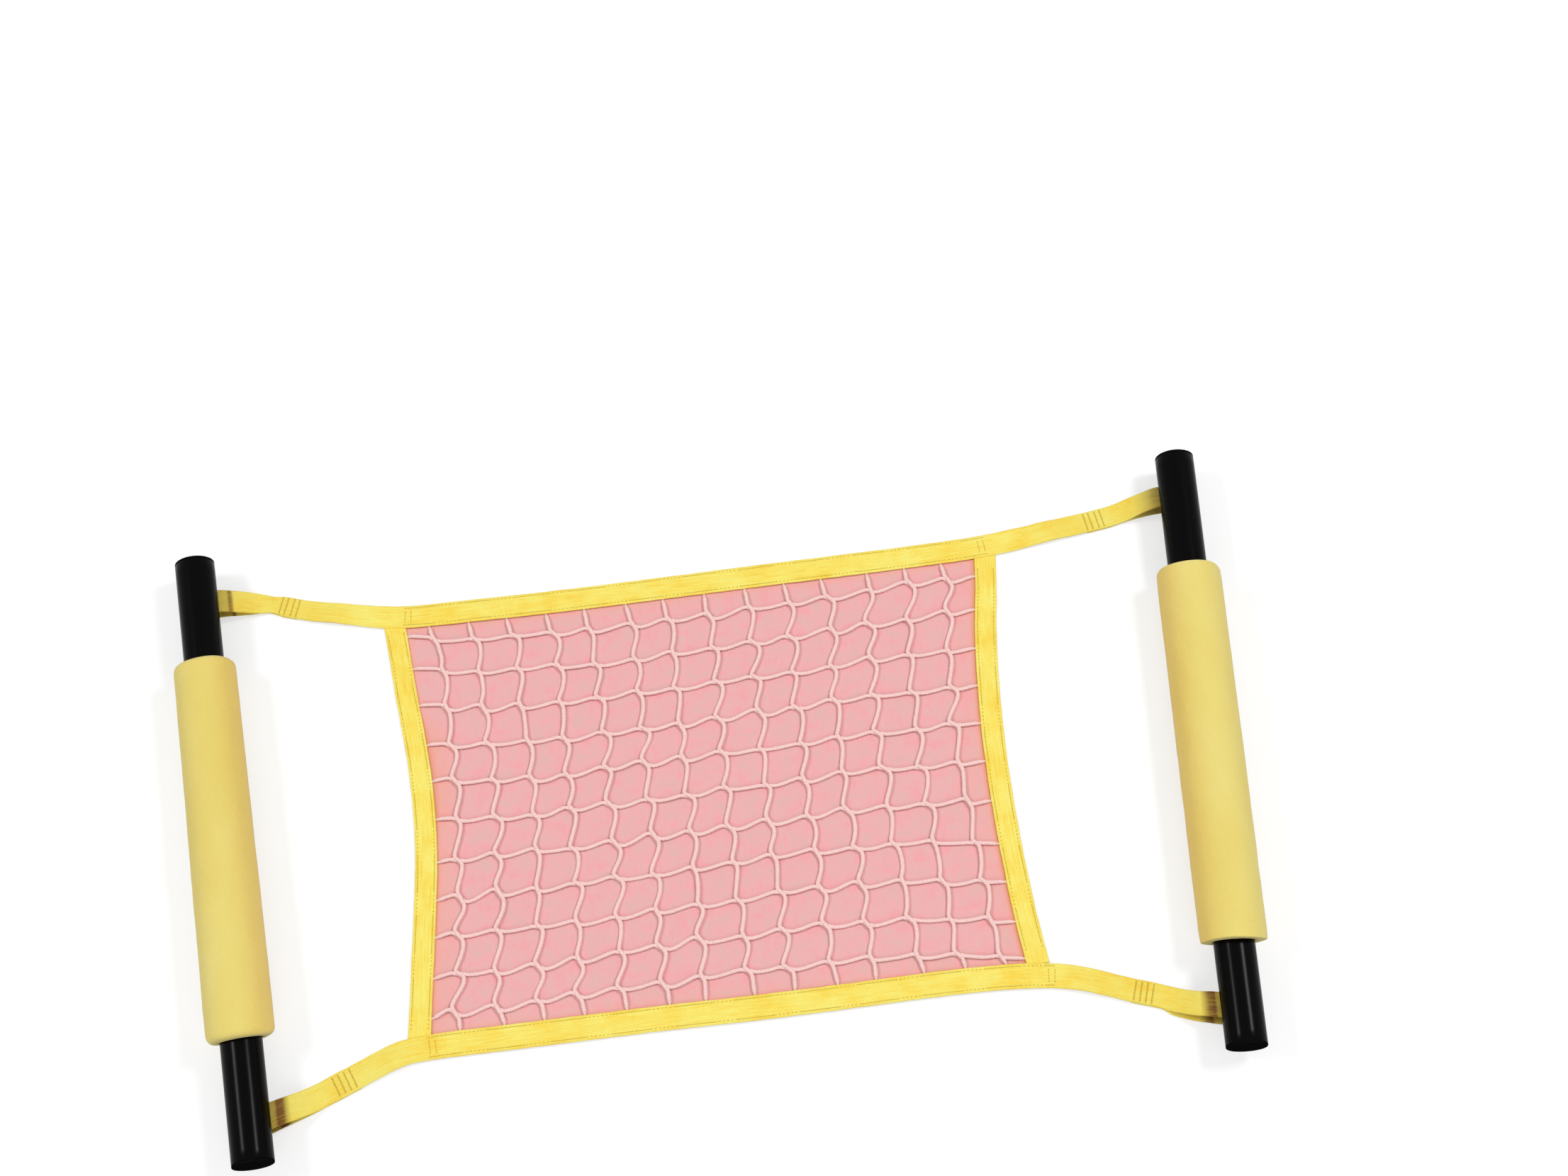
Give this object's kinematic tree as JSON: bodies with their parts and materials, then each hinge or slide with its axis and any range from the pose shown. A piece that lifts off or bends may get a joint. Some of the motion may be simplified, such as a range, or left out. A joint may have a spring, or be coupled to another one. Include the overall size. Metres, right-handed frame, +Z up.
{
  "type": "hand-held catch net",
  "caption": "Hand-held catch net: a webbing-edged netting panel over a fabric backing, hung by straps between two short foam-gripped poles; it folds up along its straps.",
  "frame": {"origin": "middle of the part's footprint, on the ground that it lies on", "axes": "+X from the left pole to the right pole, +Y toward the top ends of the poles, +Z up from the ground"},
  "size_m": [0.8586, 0.501, 0.051],
  "materials": {
    "webbing": "plain woven polypropylene webbing, bright yellow, slight sheen",
    "thread": "yellow sewing thread",
    "backing_fabric": "thin plain woven salmon pink fabric",
    "net_cord": "soft pinkish white knotless twine",
    "foam": "matte fine-celled foam, pale yellow",
    "tube_plastic": "glossy black plastic tube",
    "plug_plastic": "satin black moulded plastic"
  },
  "bodies": {
    "net": {"backing": "backing_fabric", "netting": "net_cord", "top_border": "webbing", "bottom_border": "webbing", "left_border": "webbing", "right_border": "webbing", "border_stitching": "thread", "strap_seams": "thread"},
    "left_straps": {"left_top_strap": "webbing", "left_bottom_strap": "webbing", "left_top_bar_tack": "thread", "left_bottom_bar_tack": "thread"},
    "left_pole": {"left_tube": "tube_plastic", "left_grip": "foam", "left_top_plug": "plug_plastic", "left_bottom_plug": "plug_plastic", "left_top_loop": "webbing", "left_bottom_loop": "webbing"},
    "right_straps": {"right_top_strap": "webbing", "right_bottom_strap": "webbing", "right_top_bar_tack": "thread", "right_bottom_bar_tack": "thread"},
    "right_pole": {"right_tube": "tube_plastic", "right_grip": "foam", "right_top_plug": "plug_plastic", "right_bottom_plug": "plug_plastic", "right_top_loop": "webbing", "right_bottom_loop": "webbing"}
  },
  "joints": [
    {"name": "left_strap_fold", "type": "hinge", "parent": "net", "child": "left_straps", "pos_m": [-0.2583, 0, 0.0022], "axis": [0, 1, 0], "range_deg": [0, 90]},
    {"name": "left_pole_fold", "type": "hinge", "parent": "left_straps", "child": "left_pole", "pos_m": [-0.33117, 0.00465, 0.0033], "axis": [-0.075, 0.9972, 0], "range_deg": [0, 90]},
    {"name": "right_strap_fold", "type": "hinge", "parent": "net", "child": "right_straps", "pos_m": [0.2583, 0, 0.0022], "axis": [0, -1, 0], "range_deg": [0, 90]},
    {"name": "right_pole_fold", "type": "hinge", "parent": "right_straps", "child": "right_pole", "pos_m": [0.33117, 0.00465, 0.0033], "axis": [-0.075, -0.9972, 0], "range_deg": [0, 90]}
  ]
}
